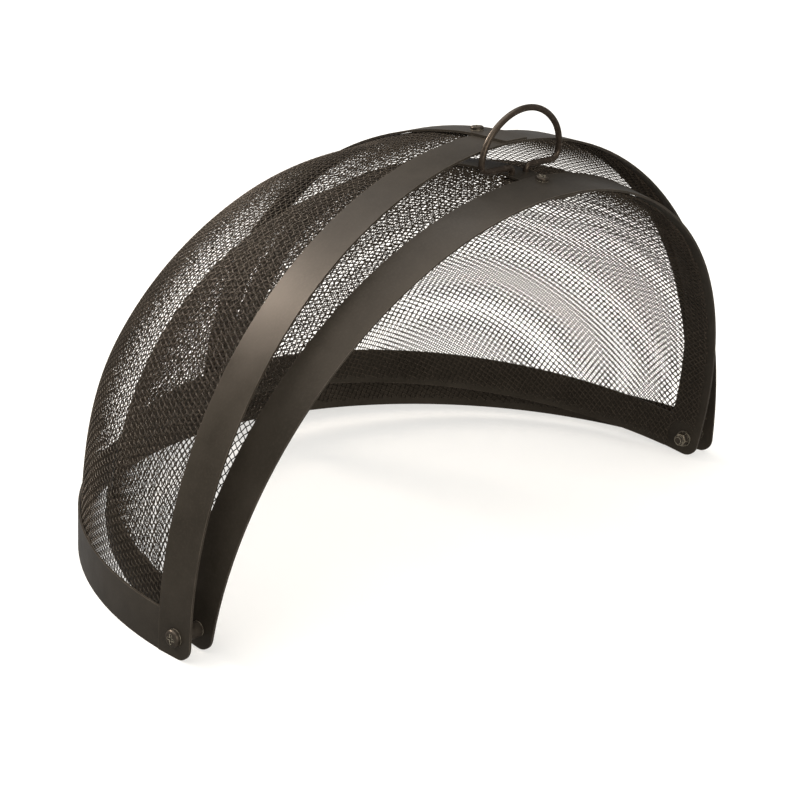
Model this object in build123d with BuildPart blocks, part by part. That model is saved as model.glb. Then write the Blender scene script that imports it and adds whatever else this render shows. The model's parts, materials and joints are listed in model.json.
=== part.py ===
"""Pivoting spark screen for a round fire pit: two nested quarter domes of woven wire on strap hoops.

Frame: +X runs along the pivot axis to the right, +Y to the back, +Z up, millimetres and degrees.
The origin is below the middle of the whole screen, on the surface that it stands on.
The outer half stands still. The inner half turns about the pivot axis and is drawn standing open.
"""
from build123d import *
import math
import os

# ---- Hoops -------------------------------------------------------------------------------------
dome_radius = 381.0          # outer face of the outer hoops
inner_radius = 355.0         # outer face of the inner hoops
strap_width = 40.0
strap_thickness = 2.0
pivot_height = 19.0          # pivot axis above the rim that the screen stands on
inner_rim_offset = 18.0      # pivot axis to the front and bottom edges of the inner straps
corner_radius = 16.0         # round end corners of the two hoops that carry the pivots
inner_lean = 10.5            # lift hoop ahead of upright when the screen stands open
inner_wedge = 93.7           # angle from the lift hoop back to the rear hoop

# ---- Ribs --------------------------------------------------------------------------------------
rib_width = 32.0
rib_corner_radius = 3.0
rib_ground_gap = 2.0         # lower end of each rib above the bottom edge of its hoop
rib_screw_gap = 8.0          # rib screws from the edge of the hoop that they are beside or in

# ---- Wire cloth, as a closed skin as thick as two crossing wires ---------------------------------
cloth_thickness = 1.8
cloth_gap = 0.2              # cloth to the straps outside it
cloth_overlap = 12.0         # cloth past the pivot axis, behind each strap
cloth_corner_gap = 1.0       # cut-out round each pivot, beyond the corner where the cloth would end
cloth_screw_hole = 4.5       # radius of the cut-outs for rib screws and handle legs
seam_gap = 0.6               # left cloth panel to right cloth panel, under the rib

# ---- Pivots ------------------------------------------------------------------------------------
pivot_shank_radius = 4.0
pivot_head_radius = 8.0
pivot_head_height = 5.0
pivot_clearance = 0.05       # lift hoop turns on the bolt with this radial play
pivot_side_play = 0.3        # lift hoop to the spacer and to the washer
fixed_hole_clearance = 0.2   # radial play of bolts and screws in holes that don't turn
spacer_radius = 7.0
spacer_seat_gap = 0.1        # keeps the spacer's flat end off the curved strap
pivot_washer_radius = 8.5
pivot_nut_flats = 13.0
pivot_nut_height = 6.5
nut_collar_height = 1.8      # nylon ring of a lock nut
bolt_past_nut = 2.0

# ---- Small fasteners ---------------------------------------------------------------------------
screw_radius = 3.0
screw_head_radius = 6.2
screw_head_height = 3.6
washer_thickness = 1.6
washer_radius = 7.0
washer_seat_gap = 0.1
nut_flats = 10.0
nut_height = 5.0
thread_clearance = 0.05
thread_past_nut = 1.0

# ---- Details of screw heads and nuts -------------------------------------------------------------
recess_length = 1.1          # arms of the cross recess, end to end, as a share of the head radius
recess_width = 0.22          # share of the head radius
recess_depth = 0.5           # share of the head height
head_rounding = 0.55         # share of the head height
collar_radius = 0.44         # share of the lock nut's width across flats
nut_chamfer = 0.6

cut_depth = 12.0             # length of the tools that cut holes through straps and cloth

# ---- Ring handle of bent rod ---------------------------------------------------------------------
handle_rod_radius = 3.0
handle_setback = 41.0        # behind the plane of the lift hoop, along the inner rib
handle_half_width = 54.0     # rod centre, at the widest
handle_side_radius = 39.0    # bend at each shoulder
handle_rise = 45.0           # widest level up to the top, rod centres
handle_foot_height = 6.5     # feet above the rib, rod centre
handle_corner_bend = 9.0
handle_leg_bend = 5.0
handle_leg_spacing = 20.0

# ---- Places that follow from the sizes -----------------------------------------------------------
base_lean = -90.0                        # a hoop's lean is its angle ahead of upright
rear_lean = inner_lean - inner_wedge
inner_seat = inner_radius - strap_thickness
outer_cloth_radius = dome_radius - strap_thickness - cloth_gap
inner_rib_seat = math.sqrt(inner_seat ** 2 - (rib_width / 2) ** 2)   # a flat rib inside a round hoop
inner_cloth_radius = inner_rib_seat - strap_thickness - cloth_gap
cloth_corner = cloth_overlap / math.sin(math.radians(min(90, inner_wedge) / 2))
cloth_pivot_hole = cloth_corner + cloth_corner_gap
outer_back = strap_width - pivot_height          # strap behind the pivot axis
inner_back = strap_width - inner_rim_offset
outer_rib_radius = math.hypot(dome_radius, outer_back)
inner_rib_radius = math.hypot(inner_rib_seat - strap_thickness, inner_back) + strap_thickness
handle_lean = inner_lean - math.degrees(math.asin(handle_setback / inner_rib_radius))
foot_level = inner_rib_radius + handle_foot_height
handle_top = foot_level + handle_corner_bend + handle_rise + handle_rod_radius
lean = math.radians(inner_lean)
hoop_reach = inner_radius * math.sin(lean) + inner_rim_offset * math.cos(lean)
front_reach = max(hoop_reach, handle_top * math.sin(math.radians(handle_lean)))
screw_angle = math.degrees(math.asin((outer_back + rib_screw_gap) / outer_rib_radius))
screw_top = outer_rib_radius + strap_thickness + screw_head_height
screw_reach = (screw_top * math.cos(math.radians(screw_angle))
               + screw_head_radius * math.sin(math.radians(screw_angle)))
pivot = Vector(0, (front_reach - screw_reach) / 2, pivot_height)
pivot_axis = Axis(pivot, (1, 0, 0))


# ---- Directions and planes -----------------------------------------------------------------------
def outward(angle):
    """Unit vector from the pivot axis, at an angle up from the horizontal that points back."""
    turn = math.radians(angle)
    return Vector(0, math.cos(turn), math.sin(turn))


def hoop_plane(hoop_lean, side=1):
    """Plane of a hoop: local x to the given side, local y out to the hoop's crown."""
    crown = outward(90 + hoop_lean)
    sideways = Vector(side, 0, 0)
    return Plane(origin=pivot, x_dir=sideways, z_dir=sideways.cross(crown))


def radial_plane(angle, distance, slide=0.0, sideways=0.0):
    """Plane facing outward at an angle and distance from the pivot axis, slid round and sideways."""
    place = pivot + outward(angle) * distance + outward(angle + 90) * slide + Vector(sideways, 0, 0)
    return Plane(origin=place, x_dir=(1, 0, 0), z_dir=outward(angle))


# ---- Profiles ----------------------------------------------------------------------------------
def hoop_profile(plane, radius):
    """Edge-on shape of a strap bent to a half circle, with straight tails beyond the pivot axis."""
    inside = radius - strap_thickness
    with BuildSketch(plane) as profile:
        with BuildLine():
            CenterArc((0, 0), radius, 0, 180)
            CenterArc((0, 0), inside, 0, 180)
            Polyline((radius, 0), (radius, -strap_width), (inside, -strap_width), (inside, 0))
            Polyline((-radius, 0), (-radius, -strap_width), (-inside, -strap_width), (-inside, 0))
        make_face()
    return profile.sketch


def rib_profile(top_angle, end_angle, seat, back, front):
    """Side view of a rib whose inner face lies flat on two hoops and is round between them."""
    inner_arc = math.hypot(seat, back)
    tail = front - rib_ground_gap
    top_out = outward(top_angle)
    top_on = outward(top_angle + 90)
    end_out = outward(end_angle)
    end_on = outward(end_angle + 90)

    def flat(level, out, on, slide):
        point = out * level + on * slide
        return (point.Y, point.Z)

    with BuildSketch(Plane(origin=pivot, x_dir=(0, 1, 0), z_dir=(1, 0, 0))) as profile:
        with BuildLine():
            for step in (0, strap_thickness):
                level = seat + step
                bend = math.sqrt((inner_arc + step) ** 2 - level ** 2)
                swing = math.degrees(math.atan2(bend, level))
                Line(flat(level, top_out, top_on, front), flat(level, top_out, top_on, -bend))
                CenterArc((0, 0), inner_arc + step, end_angle + swing, top_angle - end_angle - 2 * swing)
                Line(flat(level, end_out, end_on, bend), flat(level, end_out, end_on, -tail))
            Line(flat(seat, top_out, top_on, front), flat(seat + strap_thickness, top_out, top_on, front))
            Line(flat(seat, end_out, end_on, -tail), flat(seat + strap_thickness, end_out, end_on, -tail))
        make_face()
    return profile.sketch


def cloth_profile(plane, radius):
    """Section of a cloth panel from the cut-out round the pivot to the seam under the rib."""
    inside = radius - cloth_thickness
    seam = seam_gap / 2

    def sweep_angles(size):
        start = math.degrees(math.asin(cloth_pivot_hole / size))
        return start, math.degrees(math.acos(seam / size)) - start

    with BuildSketch(plane) as profile:
        with BuildLine():
            outer = CenterArc((0, 0), radius, *sweep_angles(radius))
            inner = CenterArc((0, 0), inside, *sweep_angles(inside))
            Line(outer @ 0, inner @ 0)
            Line(outer @ 1, inner @ 1)
        make_face()
    return profile.sketch


# ---- Fasteners, drawn on the plane that their head, washer or nut sits on -----------------------------
def pan_screw(seat, radius, length, head_radius, head_height):
    """Pan head screw with a cross recess. The shank runs down into the plane."""
    arm_length = head_radius * recess_length
    arm_width = head_radius * recess_width
    with BuildPart(seat) as screw:
        Cylinder(head_radius, head_height, align=(Align.CENTER, Align.CENTER, Align.MIN))
        fillet(screw.faces().filter_by(GeomType.PLANE).sort_by(Axis(seat.origin, seat.z_dir))[-1].edges(),
               head_height * head_rounding)
        Cylinder(radius, length, align=(Align.CENTER, Align.CENTER, Align.MAX))
        with BuildSketch(seat.offset(head_height)):
            Rectangle(arm_length, arm_width)
            Rectangle(arm_width, arm_length)
        extrude(amount=-head_height * recess_depth, mode=Mode.SUBTRACT)
    return screw.part


def flat_washer(seat, radius, bore):
    """Flat washer below the plane."""
    with BuildPart(seat) as washer:
        Cylinder(radius, washer_thickness, align=(Align.CENTER, Align.CENTER, Align.MAX))
        Hole(bore)
    return washer.part


def hex_nut(seat, flats, height, bore, collar=0.0):
    """Hexagon nut below the plane, with an optional lock-nut collar on its far side."""
    with BuildPart(seat) as nut:
        with BuildSketch(seat):
            RegularPolygon(flats / 2, 6, major_radius=False)
        extrude(amount=-height)
        chamfer(nut.edges().filter_by(GeomType.LINE).group_by(Axis(seat.origin, seat.z_dir))[0], nut_chamfer)
        if collar:
            with BuildSketch(seat.offset(-height)):
                Circle(flats * collar_radius)
            extrude(amount=-collar)
        with BuildSketch(seat):
            Circle(bore)
        extrude(amount=-height - collar, mode=Mode.SUBTRACT)
    return nut.part


def corner_edges(strap):
    """Edges across the thickness of a strap, at its corners."""
    return strap.edges().filter_by(lambda edge: math.isclose(edge.length, strap_thickness, rel_tol=0.01))


def finish(builder, name):
    """Name a finished piece and write it."""
    builder.part.label = name
    export_step(builder.part, f"parts/{name}.step")


os.makedirs("parts", exist_ok=True)

# ---- Where the small fasteners go ------------------------------------------------------------------
outer_screw_angles = (90 - screw_angle, screw_angle)
lift_crown = 90 + inner_lean
rear_crown = 90 + rear_lean
handle_crown = 90 + handle_lean
inner_screw_places = (
    (lift_crown, rib_screw_gap - inner_back),            # near the back edge of the lift hoop
    (rear_crown, inner_back - strap_width / 2),          # middle of the rear hoop
)
leg = handle_leg_spacing / 2
leg_places = [(side * leg, 0) for side in (-1, 1)]


def washer_level(cloth_radius, reach):
    """Where a flat washer stops against the inside of the cloth, when its rim reaches that far out."""
    return math.sqrt((cloth_radius - cloth_thickness) ** 2 - reach ** 2) - washer_seat_gap


# ==== Outer half ====================================================================================
arch_plane = hoop_plane(0)
base_plane = hoop_plane(base_lean)
arch_back_edge = Plane(origin=pivot + outward(0) * outer_back, z_dir=outward(0))
base_bottom = Plane(origin=pivot - outward(90) * pivot_height, z_dir=outward(90))

with BuildPart() as outer_arch_hoop:
    extrude(hoop_profile(arch_plane.offset(pivot_height), dome_radius), amount=-strap_width)
    split(bisect_by=base_bottom, keep=Keep.TOP)
    fillet(outer_arch_hoop.edges().filter_by(Axis.X).group_by(Axis(pivot, arch_plane.z_dir))[-1],
           corner_radius)
    with Locations(pivot):
        Cylinder(pivot_shank_radius + fixed_hole_clearance, 2 * dome_radius + cut_depth, rotation=(0, 90, 0),
                 mode=Mode.SUBTRACT)
finish(outer_arch_hoop, "outer_arch_hoop")

with BuildPart() as outer_base_hoop:
    extrude(hoop_profile(base_plane.offset(-pivot_height), dome_radius), amount=strap_width)
    split(bisect_by=arch_back_edge, keep=Keep.TOP)
finish(outer_base_hoop, "outer_base_hoop")

with BuildPart() as outer_rib:
    extrude(rib_profile(90, 0, dome_radius, outer_back, pivot_height), amount=rib_width / 2, both=True)
    fillet(corner_edges(outer_rib), rib_corner_radius)
    for angle in outer_screw_angles:
        with Locations(radial_plane(angle, outer_rib_radius)):
            Cylinder(screw_radius + fixed_hole_clearance, cut_depth, mode=Mode.SUBTRACT)
finish(outer_rib, "outer_rib")

for side, name in ((-1, "outer_mesh_left"), (1, "outer_mesh_right")):
    with BuildPart() as outer_mesh:
        revolve(cloth_profile(hoop_plane(0, side), outer_cloth_radius), axis=pivot_axis)
        split(bisect_by=Plane(origin=pivot - outward(0) * cloth_overlap, z_dir=outward(0)), keep=Keep.TOP)
        split(bisect_by=Plane(origin=pivot - outward(90) * cloth_overlap, z_dir=outward(90)), keep=Keep.TOP)
        for angle in outer_screw_angles:
            with Locations(radial_plane(angle, outer_cloth_radius)):
                Cylinder(cloth_screw_hole, cut_depth, mode=Mode.SUBTRACT)
    finish(outer_mesh, name)

outer_washer_seat = washer_level(outer_cloth_radius, washer_radius)
outer_nut_seat = outer_washer_seat - washer_thickness
outer_head_seat = outer_rib_radius + strap_thickness
outer_screw_length = outer_head_seat - outer_nut_seat + nut_height + thread_past_nut

with BuildPart() as outer_rib_screws:
    for angle in outer_screw_angles:
        add(pan_screw(radial_plane(angle, outer_head_seat), screw_radius, outer_screw_length,
                      screw_head_radius, screw_head_height))
finish(outer_rib_screws, "outer_rib_screws")

with BuildPart() as outer_rib_washers:
    for angle in outer_screw_angles:
        add(flat_washer(radial_plane(angle, outer_washer_seat), washer_radius,
                        screw_radius + fixed_hole_clearance))
finish(outer_rib_washers, "outer_rib_washers")

with BuildPart() as outer_rib_nuts:
    for angle in outer_screw_angles:
        add(hex_nut(radial_plane(angle, outer_nut_seat), nut_flats, nut_height,
                    screw_radius + thread_clearance))
finish(outer_rib_nuts, "outer_rib_nuts")

# ==== Pivots: bolt, spacer, washer and lock nut on each side, all fixed to the outer half ===========
spacer_outer_end = dome_radius - strap_thickness - spacer_seat_gap
spacer_inner_end = inner_radius + pivot_side_play
pivot_washer_seat = inner_seat - pivot_side_play
pivot_nut_seat = pivot_washer_seat - washer_thickness
pivot_bolt_length = dome_radius - pivot_nut_seat + pivot_nut_height + nut_collar_height + bolt_past_nut


def pivot_plane(side, distance):
    """Plane across the pivot axis, facing out to one side."""
    return Plane(origin=pivot + Vector(side * distance, 0, 0), x_dir=(0, 1, 0), z_dir=(side, 0, 0))


for side, end in ((-1, "left"), (1, "right")):
    with BuildPart() as pivot_bolt:
        add(pan_screw(pivot_plane(side, dome_radius), pivot_shank_radius, pivot_bolt_length,
                      pivot_head_radius, pivot_head_height))
    finish(pivot_bolt, f"pivot_bolt_{end}")

    with BuildPart() as pivot_spacer:
        with BuildSketch(pivot_plane(side, spacer_outer_end)):
            Circle(spacer_radius)
            Circle(pivot_shank_radius + thread_clearance, mode=Mode.SUBTRACT)
        extrude(amount=spacer_inner_end - spacer_outer_end)
    finish(pivot_spacer, f"pivot_spacer_{end}")

    with BuildPart() as pivot_washer:
        add(flat_washer(pivot_plane(side, pivot_washer_seat), pivot_washer_radius,
                        pivot_shank_radius + fixed_hole_clearance))
    finish(pivot_washer, f"pivot_washer_{end}")

    with BuildPart() as pivot_nut:
        add(hex_nut(pivot_plane(side, pivot_nut_seat), pivot_nut_flats, pivot_nut_height,
                    pivot_shank_radius + thread_clearance, nut_collar_height))
    finish(pivot_nut, f"pivot_nut_{end}")

# ==== Inner half ====================================================================================
lift_plane = hoop_plane(inner_lean)
rear_plane = hoop_plane(rear_lean)
lift_back = outward(inner_lean)
rear_up = outward(rear_crown + 90)
lift_back_edge = Plane(origin=pivot + lift_back * inner_back, z_dir=lift_back)
rear_bottom = Plane(origin=pivot - rear_up * inner_rim_offset, z_dir=rear_up)

with BuildPart() as lift_hoop:
    extrude(hoop_profile(lift_plane.offset(inner_rim_offset), inner_radius), amount=-strap_width)
    split(bisect_by=rear_bottom, keep=Keep.TOP)
    fillet(lift_hoop.edges().filter_by(Axis.X).group_by(Axis(pivot, lift_plane.z_dir))[-1], corner_radius)
    with Locations(pivot):
        Cylinder(pivot_shank_radius + pivot_clearance, 2 * dome_radius + cut_depth, rotation=(0, 90, 0),
                 mode=Mode.SUBTRACT)
    with Locations(radial_plane(lift_crown, inner_radius, inner_screw_places[0][1])):
        Cylinder(screw_radius + fixed_hole_clearance, cut_depth, mode=Mode.SUBTRACT)
finish(lift_hoop, "lift_hoop")

with BuildPart() as rear_hoop:
    extrude(hoop_profile(rear_plane.offset(-inner_rim_offset), inner_radius), amount=strap_width)
    split(bisect_by=lift_back_edge, keep=Keep.TOP)
    with Locations(radial_plane(rear_crown, inner_radius, inner_screw_places[1][1])):
        Cylinder(screw_radius + fixed_hole_clearance, cut_depth, mode=Mode.SUBTRACT)
finish(rear_hoop, "rear_hoop")

with BuildPart() as inner_rib:
    extrude(rib_profile(lift_crown, rear_crown, inner_rib_seat - strap_thickness, inner_back,
                        inner_rim_offset), amount=rib_width / 2, both=True)
    fillet(corner_edges(inner_rib), rib_corner_radius)
    with Locations(radial_plane(handle_crown, inner_seat)):
        with Locations(*leg_places):
            Cylinder(handle_rod_radius + fixed_hole_clearance, cut_depth, mode=Mode.SUBTRACT)
    for angle, slide in inner_screw_places:
        with Locations(radial_plane(angle, inner_seat, slide)):
            Cylinder(screw_radius + fixed_hole_clearance, cut_depth, mode=Mode.SUBTRACT)
finish(inner_rib, "inner_rib")

for side, name in ((-1, "inner_mesh_left"), (1, "inner_mesh_right")):
    with BuildPart() as inner_mesh:
        revolve(cloth_profile(hoop_plane(inner_lean, side), inner_cloth_radius), axis=pivot_axis)
        split(bisect_by=Plane(origin=pivot - lift_back * cloth_overlap, z_dir=lift_back), keep=Keep.TOP)
        split(bisect_by=Plane(origin=pivot - rear_up * cloth_overlap, z_dir=rear_up), keep=Keep.TOP)
        with Locations(radial_plane(handle_crown, inner_cloth_radius)):
            with Locations(*leg_places):
                Cylinder(cloth_screw_hole, cut_depth, mode=Mode.SUBTRACT)
        for angle, slide in inner_screw_places:
            with Locations(radial_plane(angle, inner_cloth_radius, slide)):
                Cylinder(cloth_screw_hole, cut_depth, mode=Mode.SUBTRACT)
    finish(inner_mesh, name)

inner_washer_seats = [washer_level(inner_cloth_radius, washer_radius + abs(slide))
                      for _, slide in inner_screw_places]

with BuildPart() as inner_rib_screws:
    for (angle, slide), seat in zip(inner_screw_places, inner_washer_seats):
        length = inner_radius - seat + washer_thickness + nut_height + thread_past_nut
        add(pan_screw(radial_plane(angle, inner_radius, slide), screw_radius, length,
                      screw_head_radius, screw_head_height))
finish(inner_rib_screws, "inner_rib_screws")

with BuildPart() as inner_rib_washers:
    for (angle, slide), seat in zip(inner_screw_places, inner_washer_seats):
        add(flat_washer(radial_plane(angle, seat, slide), washer_radius,
                        screw_radius + fixed_hole_clearance))
finish(inner_rib_washers, "inner_rib_washers")

with BuildPart() as inner_rib_nuts:
    for (angle, slide), seat in zip(inner_screw_places, inner_washer_seats):
        add(hex_nut(radial_plane(angle, seat - washer_thickness, slide), nut_flats, nut_height,
                    screw_radius + thread_clearance))
finish(inner_rib_nuts, "inner_rib_nuts")

# ==== Ring handle: one bent rod through the inner rib and the cloth, with a nut on each leg =========
handle_plane = hoop_plane(handle_lean)
widest_level = foot_level + handle_corner_bend
leg_washer_seat = washer_level(inner_cloth_radius, leg + washer_radius)
leg_nut_seat = leg_washer_seat - washer_thickness
leg_end = leg_nut_seat - nut_height - thread_past_nut
shoulder = handle_half_width - handle_side_radius
crown_radius = ((shoulder ** 2 + handle_rise ** 2 - handle_side_radius ** 2)
                / (2 * (handle_rise - handle_side_radius)))
shoulder_turn = math.degrees(math.atan2(crown_radius - handle_rise, shoulder))

with BuildPart() as ring_handle:
    with BuildLine(handle_plane) as rod_line:
        CenterArc((0, widest_level + handle_rise - crown_radius), crown_radius,
                  shoulder_turn, 180 - 2 * shoulder_turn)
        for side, shoulder_start, corner_start, bend_start in ((1, 0, 270, 90), (-1, 180 - shoulder_turn, 180, 0)):
            corner = side * (handle_half_width - handle_corner_bend)
            bend = side * (leg + handle_leg_bend)
            CenterArc((side * shoulder, widest_level), handle_side_radius, shoulder_start, shoulder_turn)
            CenterArc((corner, widest_level), handle_corner_bend, corner_start, 90)
            Line((bend, foot_level), (corner, foot_level))
            CenterArc((bend, foot_level - handle_leg_bend), handle_leg_bend, bend_start, 90)
            Line((side * leg, leg_end), (side * leg, foot_level - handle_leg_bend))
    rod_path = rod_line.wires()[0]
    with BuildSketch(Plane(origin=rod_path @ 0, z_dir=rod_path % 0)):
        Circle(handle_rod_radius)
    sweep(path=rod_path)
finish(ring_handle, "ring_handle")

with BuildPart() as handle_washers:
    for leg_x, _ in leg_places:
        seat = radial_plane(handle_crown, leg_washer_seat, sideways=leg_x)
        add(flat_washer(seat, washer_radius, handle_rod_radius + fixed_hole_clearance))
finish(handle_washers, "handle_washers")

with BuildPart() as handle_nuts:
    for leg_x, _ in leg_places:
        seat = radial_plane(handle_crown, leg_nut_seat, sideways=leg_x)
        add(hex_nut(seat, nut_flats, nut_height, handle_rod_radius + thread_clearance))
finish(handle_nuts, "handle_nuts")
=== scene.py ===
# Looks of the pivoting spark screen: woven wire cloth, coated straps, screws and the rod handle.
# Metres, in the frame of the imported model: +X along the pivot axis, +Y to the back, +Z up.
import json
import math

import bpy
import numpy as np
from mathutils import Matrix, Vector


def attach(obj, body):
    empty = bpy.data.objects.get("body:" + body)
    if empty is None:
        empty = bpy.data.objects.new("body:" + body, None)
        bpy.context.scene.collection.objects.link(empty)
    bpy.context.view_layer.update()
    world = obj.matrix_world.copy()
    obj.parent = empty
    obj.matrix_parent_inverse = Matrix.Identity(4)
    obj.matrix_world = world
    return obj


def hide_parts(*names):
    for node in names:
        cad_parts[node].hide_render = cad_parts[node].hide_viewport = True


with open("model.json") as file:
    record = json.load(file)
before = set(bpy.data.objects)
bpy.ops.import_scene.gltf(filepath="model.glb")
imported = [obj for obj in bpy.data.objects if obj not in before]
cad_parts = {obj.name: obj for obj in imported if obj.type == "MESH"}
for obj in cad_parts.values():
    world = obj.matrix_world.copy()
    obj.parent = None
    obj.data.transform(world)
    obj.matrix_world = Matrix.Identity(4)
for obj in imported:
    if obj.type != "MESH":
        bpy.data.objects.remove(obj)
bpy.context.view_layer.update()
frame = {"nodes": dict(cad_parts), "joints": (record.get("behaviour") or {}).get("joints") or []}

# ---- Shape of the two quarter domes, as in the CAD model -----------------------------------
PIVOT = np.array(frame["joints"][0]["pos_m"], float)
OUTER_LEAN = 0.0               # arch hoop ahead of upright, degrees
OUTER_WEDGE = 90.0             # arch hoop back to the base hoop, degrees
INNER_LEAN = 10.5              # lift hoop ahead of upright, degrees
INNER_WEDGE = 93.7             # lift hoop back to the rear hoop, degrees
RIB_HALF_WIDTH = 0.016
STRAP_BACK = 0.022             # inner strap past the pivot axis, over the cloth's edge
SEAM = 0.0003                  # cloth edge to the middle plane, under the rib
FASTENER_HOLE = 0.0045         # cut-out radius round each screw and handle leg

# ---- Wire cloth ----------------------------------------------------------------------------
CLOTH_OVERLAP = 0.0118         # cloth past the pivot axis, a little short of the CAD skin's edge
PIVOT_HOLE = 0.018             # cut-out radius round each pivot
WIRE_PITCH = 0.0052
WIRE_RADIUS = 0.00049
CRIMP = 0.00041                # wire centres from the middle of the cloth, at each crossing
WIRE_SIDES = 5
QUAD = 4                       # corners of each face along a wire
CRIMP_FLAT = 0.2               # share of a pitch from a crossing to each bend of the wire
NET_REACH = 75.0               # net laid this far from the panel's centre, degrees
LEFT_WEAVE = 26.0              # weave from the pivot axis toward the front, degrees
RIGHT_WEAVE = {"outer": 5.0, "inner": 10.0}

# Where the cloth leaves the sphere of its hoops. A rise grows from 0 to full over its length.
BULGE = {"outer": 0.008, "inner": 0.002}           # middle of a panel
BULGE_FROM_HOOP = 0.14         # length, past each strap
BULGE_FROM_RIB = 0.1           # length, past the rib's edge
BULGE_FROM_PIVOT = 0.12        # length, past the flat round each pivot
PIVOT_FLAT = 0.03              # no bulge this near the pivot axis
RIB_GAP = {"outer": 0.0022, "inner": 0.0}          # cloth is drawn up to the rib by this much
HOOP_GRIP = 0.004              # cloth held at the sphere this far past each strap
RIB_RISE = 0.05                # length, past the hoop's grip
RIB_FALL = 0.03                # length, past the rib's edge

# ---- Finishes ------------------------------------------------------------------------------
WARM_GLOSS = (1.0, 0.80, 0.62, 1.0)
STRAP_DARK = (0.020, 0.017, 0.013)
STRAP_LIGHT = (0.033, 0.028, 0.022)
STRAP_SPECK = (0.040, 0.033, 0.026)
# Lighter colour on every strap edge: rubbed coat, and a painted highlight along the edges
STRAP_WEAR_AND_HIGHLIGHT = (0.09, 0.075, 0.060)
WIRE_DARK = (0.016, 0.013, 0.010)
WIRE_LIGHT = (0.030, 0.024, 0.018)
WIRE_RUBBED = (0.10, 0.080, 0.060)
FASTENER_DARK = (0.022, 0.018, 0.014)
FASTENER_LIGHT = (0.042, 0.035, 0.028)
# Pale colour on fastener rims and recess edges: wear, and a painted highlight on the rims
FASTENER_WEAR_AND_HIGHLIGHT = (0.60, 0.54, 0.42)
ROD_DARK = (0.018, 0.013, 0.010)
ROD_LIGHT = (0.030, 0.023, 0.017)
ROD_RUBBED = (0.11, 0.088, 0.068)
EDGE_MASK_SAMPLES = 6
EDGE_MASK_START, EDGE_MASK_FULL = 0.99, 0.80                 # cosine of the bend found near an edge
MIX_FIRST, MIX_SECOND, MIX_RESULT = 6, 7, 2        # colour sockets of the Mix node
EDGE_ROUND = 0.00025
EDGE_SEGMENTS = 2
EDGE_ANGLE = 40.0              # sharper edges are rounded, degrees

# ---- Studio and camera ---------------------------------------------------------------------
FLOOR_SIZE = 60.0
FLOOR_GREY = (0.44, 0.43, 0.41)
FLOOR_PALE = (0.46, 0.45, 0.43)
FLOOR_GLOW = (1.0, 0.99, 0.965, 1.0)
FLOOR_GLOW_STRENGTH = 0.6
WHITE = (1.0, 1.0, 1.0, 1.0)
WALL_LIGHT = 0.25
OVERHEAD_ANGLE = 80.0          # spread of the overhead light, degrees
OVERHEAD_STRENGTH = 3.1
SOFTBOX_WATTS = 72
SOFTBOX_SIZE = 0.65
SOFTBOX_COLOUR = (1.0, 0.90, 0.80)
FILL_WATTS = 40
FILL_SIZE = 1.6
FILL_COLOUR = (1.0, 0.95, 0.88)
CAMERA_AZIMUTH = -47.786       # round from the front, negative to the left, degrees
CAMERA_ELEVATION = 19.954      # degrees
CAMERA_ROLL = 0.0569           # radians
CAMERA_DISTANCE = 1.7718
CAMERA_TARGET = (-0.1186, 0.0, 0.1549)             # from the pivot joint's place
FOCAL_LENGTH = 87.89           # millimetres
SENSOR_WIDTH = 36.0            # millimetres
CAMERA_SHIFT = (0.0019, -0.0025)                   # share of the picture's width
CLIP_START, CLIP_END = 0.05, 100.0


def outward(angle):
    """Unit vector from the pivot axis, at an angle in degrees up from straight back."""
    turn = math.radians(angle)
    return np.array([0.0, math.cos(turn), math.sin(turn)])


def unit(vectors):
    return vectors / np.linalg.norm(vectors, axis=-1, keepdims=True)


def node_points(node):
    """Vertices of a CAD node."""
    mesh = frame["nodes"][node].data
    points = np.empty(len(mesh.vertices) * 3)
    mesh.vertices.foreach_get("co", points)
    return points.reshape(-1, 3)


def half_centres(node, axis):
    """Middle of each of a CAD node's two solids, which lie apart along an axis."""
    points = node_points(node)
    middle = (points[:, axis].min() + points[:, axis].max()) / 2
    halves = [points[points[:, axis] < middle], points[points[:, axis] >= middle]]
    return [(half.min(0) + half.max(0)) / 2 for half in halves]


# ---- Wire net ------------------------------------------------------------------------------
def wire_net(radius, centre, along):
    """Crossings of square wire cloth draped on a sphere: every cell side stays one pitch long.

    Two great circles cross at the panel's centre. Each further crossing is one pitch from two
    neighbours, on the side away from the crossing behind them.
    """
    reach = int(math.radians(NET_REACH) * radius / WIRE_PITCH)
    across = np.cross(centre, along)
    step = 2 * math.asin(WIRE_PITCH / (2 * radius))
    turns = np.arange(-reach, reach + 1)[:, None] * step
    net = np.full((2 * reach + 1, 2 * reach + 1, 3), np.nan)
    net[:, reach] = radius * (np.cos(turns) * centre + np.sin(turns) * along)
    net[reach, :] = radius * (np.cos(turns) * centre + np.sin(turns) * across)
    with np.errstate(invalid="ignore"):
        for x_sign in (-1, 1):
            for y_sign in (-1, 1):
                for diagonal in range(2, 2 * reach + 1):
                    i = np.arange(max(1, diagonal - reach), min(reach, diagonal - 1) + 1)
                    j = diagonal - i
                    row, row_behind = reach + x_sign * i, reach + x_sign * (i - 1)
                    column, column_behind = reach + y_sign * j, reach + y_sign * (j - 1)
                    before = net[row_behind, column]
                    beside = net[row, column_behind]
                    behind = net[row_behind, column_behind]
                    net[row, column] = next_crossing(radius, before, beside, behind)
    return net


def next_crossing(radius, before, beside, behind):
    """Points on the sphere one pitch from two neighbours, on the side away from the third."""
    middle = unit(before + beside)
    normal = unit(np.cross(before, beside))
    along_middle = (middle * before).sum(-1, keepdims=True)
    level = (radius ** 2 - WIRE_PITCH ** 2 / 2) / along_middle
    rise = np.sqrt(radius ** 2 - level ** 2)
    away = -np.sign((behind * normal).sum(-1, keepdims=True))
    return level * middle + away * rise * normal


def ramp(values, start, length):
    """0 up to the start, rising smoothly to 1 one length further on."""
    share = np.clip((values - start) / length, 0, 1)
    return share * share * (3 - 2 * share)


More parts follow.
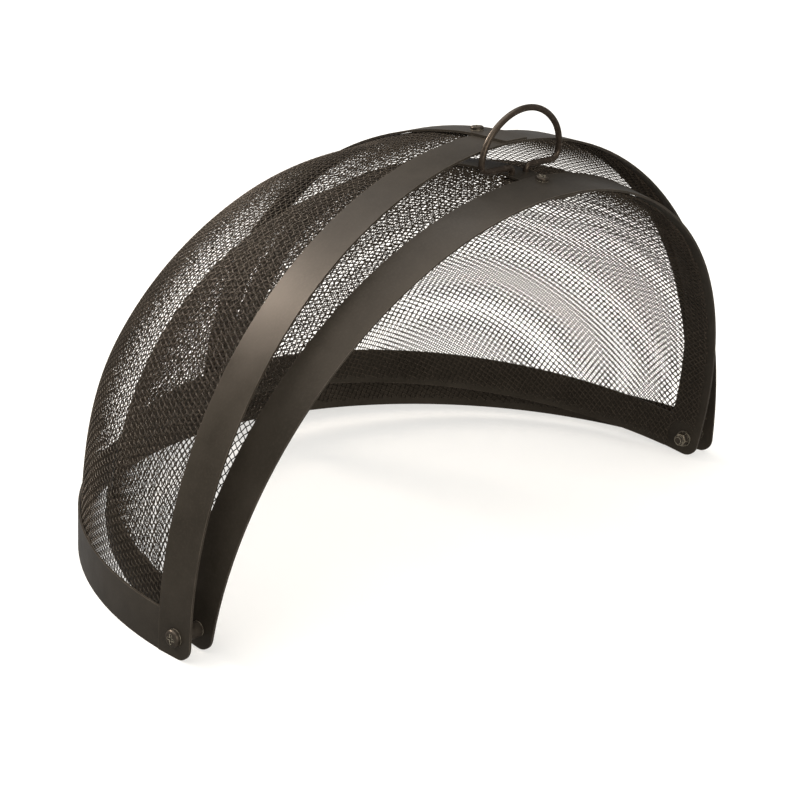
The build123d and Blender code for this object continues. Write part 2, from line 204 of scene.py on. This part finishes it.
def swell(net, half, lean, wedge):
    """Draw the cloth up to the rib between the hoops, and bulge the middle of the panel."""
    from_hoops = np.minimum(net @ outward(lean), net @ outward(lean + 180 - wedge))
    from_rib = np.abs(net[..., 0])
    from_pivot = np.hypot(net[..., 1], net[..., 2])
    free = ramp(from_hoops, STRAP_BACK + HOOP_GRIP, RIB_RISE)
    under_rib = free * (1 - ramp(from_rib, RIB_HALF_WIDTH, RIB_FALL))
    middle = ramp(from_hoops, STRAP_BACK, BULGE_FROM_HOOP)
    middle = middle * ramp(from_rib, RIB_HALF_WIDTH, BULGE_FROM_RIB)
    middle = middle * ramp(from_pivot, PIVOT_FLAT, BULGE_FROM_PIVOT)
    rise = RIB_GAP[half] * under_rib + BULGE[half] * middle
    return net * (1 + rise / np.linalg.norm(net, axis=-1))[..., None]


def crimped_lines(net, parity):
    """Centre lines of the wires along the net's first direction, over and under in turn."""
    count = net.shape[0]
    crossing = np.arange(count)[:, None] + np.arange(net.shape[1])[None] + parity
    over = 1 - 2 * (crossing % 2)
    height = over[..., None] * CRIMP
    toward_next = np.diff(net, axis=0)
    leaving = net[:-1] + CRIMP_FLAT * toward_next
    arriving = net[1:] - CRIMP_FLAT * toward_next
    lines = np.empty((2 * (count - 1), net.shape[1], 3))
    lines[0::2] = leaving + unit(leaving) * height[:-1]
    lines[1::2] = arriving + unit(arriving) * height[1:]
    return lines.transpose(1, 0, 2)


def tube_mesh(name, lines, inside):
    """One mesh of thin tubes along the parts of the lines that are inside, with closed ends."""
    inside = inside & ~np.isnan(lines).any(-1)
    run_start = inside & ~np.roll(inside, 1, axis=1)
    run_end = inside & ~np.roll(inside, -1, axis=1)
    run_start[:, 0] = inside[:, 0]
    run_end[:, -1] = inside[:, -1]
    lonely = run_start & run_end
    inside &= ~lonely
    run_start &= ~lonely
    run_end &= ~lonely
    forward = np.where(run_end[..., None], lines, np.roll(lines, -1, axis=1))
    backward = np.where(run_start[..., None], lines, np.roll(lines, 1, axis=1))
    tangent = unit((forward - backward)[inside])
    points = lines[inside]
    normal = unit(points)
    side = unit(np.cross(tangent, normal))
    normal = np.cross(side, tangent)
    turns = (np.arange(WIRE_SIDES) * 2 * math.pi / WIRE_SIDES)[None, :, None]
    ring = np.cos(turns) * normal[:, None] + np.sin(turns) * side[:, None]
    vertices = points[:, None] + WIRE_RADIUS * ring + PIVOT
    index = np.full(inside.shape, -1)
    index[inside] = np.arange(len(points)) * WIRE_SIDES
    here = index[inside & ~run_end][:, None]
    there = here + WIRE_SIDES
    corner = np.arange(WIRE_SIDES)
    following = (corner + 1) % WIRE_SIDES
    quads = np.stack([here + corner, here + following, there + following, there + corner], -1)
    quads = quads.reshape(-1, QUAD)
    start_caps = index[run_start][:, None] + corner[::-1]
    end_caps = index[run_end][:, None] + corner
    caps = np.concatenate([start_caps, end_caps])

    mesh = bpy.data.meshes.new(name)
    mesh.vertices.add(vertices.size // 3)
    mesh.vertices.foreach_set("co", vertices.ravel())
    loops = np.concatenate([quads.ravel(), caps.ravel()]).astype(np.int32)
    mesh.loops.add(len(loops))
    mesh.loops.foreach_set("vertex_index", loops)
    sizes = np.concatenate([np.full(len(quads), QUAD), np.full(len(caps), WIRE_SIDES)])
    mesh.polygons.add(len(sizes))
    mesh.polygons.foreach_set("loop_start", (np.cumsum(sizes) - sizes).astype(np.int32))
    mesh.polygons.foreach_set("use_smooth", sizes == QUAD)
    mesh.update(calc_edges=True)
    mesh.validate()
    return mesh


def inside_panel(points, side, lean, wedge, holes):
    """Which points of a side's panel are within its edges and clear of its cut-outs."""
    ahead = outward(lean)
    rear = outward(lean + 180 - wedge)
    inside = side * points[..., 0] > SEAM + WIRE_RADIUS
    inside &= points @ ahead > -CLOTH_OVERLAP
    inside &= points @ rear > -CLOTH_OVERLAP
    inside &= np.hypot(points[..., 1], points[..., 2]) > PIVOT_HOLE + WIRE_RADIUS
    for centre in holes:
        place = centre - PIVOT
        shaft = unit(place * (0, 1, 1))
        offset = points - place
        offset = offset - (offset @ shaft)[..., None] * shaft
        inside &= np.linalg.norm(offset, axis=-1) > FASTENER_HOLE + WIRE_RADIUS
    return inside


def wire_cloth(half, side_name, side, lean, wedge, weave, holes, material):
    """Both wire directions of one panel, which stand for its CAD skin."""
    node = f"{half}_mesh_{side_name}"
    reach = np.linalg.norm(node_points(node) - PIVOT, axis=1)
    radius = (reach.min() + reach.max()) / 2
    middle = lean + 90 - wedge / 2
    centre = unit(np.array([side, 0, 0]) + math.sqrt(2) * outward(middle))
    to_pole = np.array([side, 0.0, 0.0])
    to_pole = unit(to_pole - (to_pole @ centre) * centre)
    to_front = outward(middle + 90)
    turn = math.radians(weave)
    along = math.cos(turn) * to_pole + math.sin(turn) * to_front
    net = swell(wire_net(radius, centre, along), half, lean, wedge)
    for direction, grid, parity in (("warp", net, 0), ("weft", net.transpose(1, 0, 2), 1)):
        lines = crimped_lines(grid, parity)
        name = f"{half}_{side_name}_{direction}_wires"
        mesh = tube_mesh(name, lines, inside_panel(lines, side, lean, wedge, holes))
        wires = bpy.data.objects.new(name, mesh)
        bpy.context.scene.collection.objects.link(wires)
        mesh.materials.append(material)
        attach(wires, f"{half}_half")
        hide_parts(node)


# ---- Materials -----------------------------------------------------------------------------
class Shader:
    """A Principled material and short ways to add nodes to it."""

    def __init__(self, name):
        self.material = bpy.data.materials.new(name)
        self.material.use_nodes = True
        self.tree = self.material.node_tree
        self.surface = self.tree.nodes["Principled BSDF"]
        self.place = self.tree.nodes.new("ShaderNodeTexCoord").outputs["Object"]

    def link(self, source, target):
        self.tree.links.new(source, target)

    def noise(self, scale, detail=3.0, roughness=0.5):
        """Noise in the object's own coordinates, scale in features per metre."""
        node = self.tree.nodes.new("ShaderNodeTexNoise")
        node.inputs["Scale"].default_value = scale
        node.inputs["Detail"].default_value = detail
        node.inputs["Roughness"].default_value = roughness
        self.link(self.place, node.inputs["Vector"])
        return node.outputs["Fac"]

    def span(self, value, low, high, to_low=0.0, to_high=1.0):
        """Map a value's range onto another, clamped."""
        node = self.tree.nodes.new("ShaderNodeMapRange")
        ends = {"From Min": low, "From Max": high, "To Min": to_low, "To Max": to_high}
        for name, number in ends.items():
            node.inputs[name].default_value = number
        self.link(value, node.inputs["Value"])
        return node.outputs["Result"]

    def math(self, operation, first, second):
        node = self.tree.nodes.new("ShaderNodeMath")
        node.operation = operation
        for socket, value in zip(node.inputs, (first, second)):
            if isinstance(value, (int, float)):
                socket.default_value = value
            else:
                self.link(value, socket)
        return node.outputs["Value"]

    def blend(self, amount, first, second):
        """Mix of two colours."""
        node = self.tree.nodes.new("ShaderNodeMix")
        node.data_type = "RGBA"
        self.link(amount, node.inputs["Factor"])
        for number, colour in ((MIX_FIRST, first), (MIX_SECOND, second)):
            if isinstance(colour, tuple):
                node.inputs[number].default_value = (*colour, 1.0)
            else:
                self.link(colour, node.inputs[number])
        return node.outputs[MIX_RESULT]

    def edges(self, width):
        """0 on flat faces and 1 on edges and corners."""
        bevel = self.tree.nodes.new("ShaderNodeBevel")
        bevel.samples = EDGE_MASK_SAMPLES
        bevel.inputs["Radius"].default_value = width
        geometry = self.tree.nodes.new("ShaderNodeNewGeometry")
        dot = self.tree.nodes.new("ShaderNodeVectorMath")
        dot.operation = "DOT_PRODUCT"
        self.link(bevel.outputs["Normal"], dot.inputs[0])
        self.link(geometry.outputs["Normal"], dot.inputs[1])
        return self.span(dot.outputs["Value"], EDGE_MASK_START, EDGE_MASK_FULL)

    def bump(self, height, distance, strength=1.0):
        node = self.tree.nodes.new("ShaderNodeBump")
        node.inputs["Strength"].default_value = strength
        node.inputs["Distance"].default_value = distance
        self.link(height, node.inputs["Height"])
        self.link(node.outputs["Normal"], self.surface.inputs["Normal"])

    def set(self, **values):
        """Set the surface's own sockets, named with _ for each space."""
        for name, value in values.items():
            self.surface.inputs[name.replace("_", " ")].default_value = value

    def colour(self, source):
        self.link(source, self.surface.inputs["Base Color"])

    def roughness(self, source):
        self.link(source, self.surface.inputs["Roughness"])


def strap_coat():
    """Dark bronze powder coat: mottled, finely grained, rubbed along the sheared edges, where the
    lighter colour is also a painted highlight.
    """
    coat = Shader("strap_coat")
    coat.set(Metallic=0.0, IOR=1.5, Specular_IOR_Level=0.18, Specular_Tint=WARM_GLOSS)
    clouds = coat.span(coat.noise(14, detail=4, roughness=0.6), 0.35, 0.68)
    specks = coat.span(coat.noise(420, detail=2, roughness=0.6), 0.45, 0.72)
    base = coat.blend(clouds, STRAP_DARK, STRAP_LIGHT)
    base = coat.blend(coat.math("MULTIPLY", specks, 0.4), base, STRAP_SPECK)
    edges = coat.edges(width=0.0011)
    uneven = coat.span(coat.noise(55), 0.30, 0.62, to_low=0.25, to_high=0.95)
    # Rubbed edges, whose lighter colour also paints the edges' highlight into the coat
    rubbed = coat.math("MULTIPLY", edges, uneven)
    coat.colour(coat.blend(rubbed, base, STRAP_WEAR_AND_HIGHLIGHT))
    gloss = coat.noise(38, detail=4, roughness=0.6)
    coat.roughness(coat.span(gloss, 0.3, 0.7, to_low=0.29, to_high=0.39))
    coat.bump(coat.noise(1500, detail=2, roughness=0.55), distance=0.00005, strength=0.6)
    return coat.material


def wire_finish():
    """Dark coated wire with fine flecks of rubbed bronze."""
    wire = Shader("wire_finish")
    wire.set(Metallic=0.0, IOR=1.5, Specular_IOR_Level=0.25, Specular_Tint=WARM_GLOSS)
    patches = wire.span(wire.noise(22), 0.35, 0.65)
    flecks = wire.span(wire.noise(700, detail=2), 0.5, 0.72)
    base = wire.blend(patches, WIRE_DARK, WIRE_LIGHT)
    wire.colour(wire.blend(wire.math("MULTIPLY", flecks, 0.5), base, WIRE_RUBBED))
    gloss = wire.noise(90, detail=2)
    wire.roughness(wire.span(gloss, 0.3, 0.7, to_low=0.34, to_high=0.48))
    wire.bump(wire.noise(2600, detail=2), distance=0.00002, strength=0.5)
    return wire.material


def fastener_finish():
    """Bronze-coated steel, worn bright on rims and in the recess edges, where the bright colour
    is also a painted highlight.
    """
    metal = Shader("fastener_finish")
    metal.set(Metallic=0.3, IOR=1.5, Specular_IOR_Level=0.4, Specular_Tint=WARM_GLOSS)
    clouds = metal.span(metal.noise(160), 0.35, 0.65)
    base = metal.blend(clouds, FASTENER_DARK, FASTENER_LIGHT)
    edges = metal.edges(width=0.0010)
    uneven = metal.span(metal.noise(260, detail=2), 0.3, 0.6, to_low=0.35, to_high=1.0)
    # Bright worn edges, whose pale colour also paints the rims' highlight into the metal
    worn_and_highlight = metal.math("MULTIPLY", edges, uneven)
    metal.colour(metal.blend(worn_and_highlight, base, FASTENER_WEAR_AND_HIGHLIGHT))
    gloss = metal.noise(330)
    metal.roughness(metal.span(gloss, 0.3, 0.7, to_low=0.30, to_high=0.46))
    metal.bump(metal.noise(2200, detail=2), distance=0.00004, strength=0.5)
    return metal.material


def rod_finish():
    """Smooth bronze coat on drawn rod, with faint rubs."""
    rod = Shader("rod_finish")
    rod.set(Metallic=0.1, IOR=1.5, Specular_IOR_Level=0.4, Specular_Tint=WARM_GLOSS)
    clouds = rod.span(rod.noise(60), 0.35, 0.65)
    base = rod.blend(clouds, ROD_DARK, ROD_LIGHT)
    rubs = rod.span(rod.noise(320, roughness=0.6), 0.55, 0.75, to_low=0.0, to_high=0.5)
    rod.colour(rod.blend(rubs, base, ROD_RUBBED))
    gloss = rod.noise(120)
    rod.roughness(rod.span(gloss, 0.3, 0.7, to_low=0.26, to_high=0.38))
    rod.bump(rod.noise(1800, detail=2), distance=0.00004, strength=0.5)
    return rod.material


def soften(part):
    """Small round on every sharp edge."""
    bevel = part.modifiers.new("edge_round", "BEVEL")
    bevel.width = EDGE_ROUND
    bevel.segments = EDGE_SEGMENTS
    bevel.limit_method = "ANGLE"
    bevel.angle_limit = math.radians(EDGE_ANGLE)
    bevel.harden_normals = True


# ---- The object ----------------------------------------------------------------------------
finishes = {
    "strap": strap_coat(),
    "wire_cloth": wire_finish(),
    "fastener": fastener_finish(),
    "rod": rod_finish(),
}
for part in frame["nodes"].values():
    soften(part)
    for material_slot in part.material_slots:
        material_slot.material = finishes[material_slot.material.name.split(".")[0]]

holes = {
    "outer": half_centres("outer_rib_nuts", axis=2),
    "inner": half_centres("handle_nuts", axis=0) + half_centres("inner_rib_nuts", axis=2),
}
for half, lean, wedge in (("outer", OUTER_LEAN, OUTER_WEDGE), ("inner", INNER_LEAN, INNER_WEDGE)):
    for side_name, side, weave in (("left", -1, LEFT_WEAVE), ("right", 1, RIGHT_WEAVE[half])):
        wire_cloth(half, side_name, side, lean, wedge, weave, holes[half],
                   finishes["wire_cloth"])


# ---- Studio --------------------------------------------------------------------------------
def floor():
    """Plain white light table, wide enough to fill the view. It isn't mirrored in the coats."""
    bpy.ops.mesh.primitive_plane_add(size=FLOOR_SIZE)
    ground = bpy.context.object
    ground.name = "studio_floor"
    paint = Shader("floor_paint")
    tone = paint.span(paint.noise(3, detail=2), 0.3, 0.7)
    paint.colour(paint.blend(tone, FLOOR_GREY, FLOOR_PALE))
    paint.set(Roughness=0.9, Specular_IOR_Level=0.0,
              Emission_Color=FLOOR_GLOW, Emission_Strength=FLOOR_GLOW_STRENGTH)
    ground.visible_glossy = False
    ground.data.materials.append(paint.material)


def lamp(name, kind, place, aim, energy):
    """Light that faces a point."""
    light = bpy.data.lights.new(name, kind)
    light.energy = energy
    holder = bpy.data.objects.new(name, light)
    holder.location = place
    holder.rotation_euler = (Vector(aim) - Vector(place)).to_track_quat("-Z", "Y").to_euler()
    bpy.context.scene.collection.objects.link(holder)
    return light


def studio():
    """Wide overhead light, softbox high behind the dome's left, front fill and dim walls.

    The camera sees the walls as white, so the horizon doesn't show.
    """
    world = bpy.data.worlds.new("studio_world")
    bpy.context.scene.world = world
    world.use_nodes = True
    tree = world.node_tree
    walls = tree.nodes["Background"]
    walls.inputs["Strength"].default_value = WALL_LIGHT
    seen = tree.nodes.new("ShaderNodeBackground")
    for background in (walls, seen):
        background.inputs["Color"].default_value = WHITE
    path = tree.nodes.new("ShaderNodeLightPath")
    mix = tree.nodes.new("ShaderNodeMixShader")
    tree.links.new(path.outputs["Is Camera Ray"], mix.inputs["Fac"])
    tree.links.new(walls.outputs["Background"], mix.inputs[1])
    tree.links.new(seen.outputs["Background"], mix.inputs[2])
    tree.links.new(mix.outputs["Shader"], tree.nodes["World Output"].inputs["Surface"])
    bpy.context.scene.view_settings.view_transform = "Standard"
    overhead = lamp("overhead_light", "SUN", place=(-0.5, 0.6, 3.0), aim=(0, 0, 0),
                    energy=OVERHEAD_STRENGTH)
    overhead.angle = math.radians(OVERHEAD_ANGLE)
    softbox = lamp("softbox", "AREA", place=(-0.62, 1.9, 1.6), aim=(-0.25, -0.15, 0.25),
                   energy=SOFTBOX_WATTS)
    softbox.size = SOFTBOX_SIZE
    softbox.color = SOFTBOX_COLOUR
    fill = lamp("front_fill", "AREA", place=(-0.9, -2.4, 1.0), aim=(0, -0.1, 0.15),
                energy=FILL_WATTS)
    fill.size = FILL_SIZE
    fill.color = FILL_COLOUR


def camera():
    """The view from the front left, slightly above, a little rolled."""
    azimuth = math.radians(CAMERA_AZIMUTH)
    elevation = math.radians(CAMERA_ELEVATION)
    target = Vector(PIVOT) + Vector(CAMERA_TARGET)
    back = Vector((math.sin(azimuth) * math.cos(elevation),
                   -math.cos(azimuth) * math.cos(elevation),
                   math.sin(elevation)))
    right = (-back).cross(Vector((0, 0, 1))).normalized()
    up = right.cross(-back)
    right_rolled = math.cos(CAMERA_ROLL) * right + math.sin(CAMERA_ROLL) * up
    up_rolled = math.cos(CAMERA_ROLL) * up - math.sin(CAMERA_ROLL) * right
    lens = bpy.data.cameras.new("camera")
    lens.lens = FOCAL_LENGTH
    lens.sensor_width = SENSOR_WIDTH
    lens.shift_x, lens.shift_y = CAMERA_SHIFT
    lens.clip_start = CLIP_START
    lens.clip_end = CLIP_END
    viewer = bpy.data.objects.new("camera", lens)
    turn = Matrix((right_rolled, up_rolled, back)).transposed().to_4x4()
    viewer.matrix_world = Matrix.Translation(target + CAMERA_DISTANCE * back) @ turn
    bpy.context.scene.collection.objects.link(viewer)
    bpy.context.scene.camera = viewer


floor()
studio()
camera()
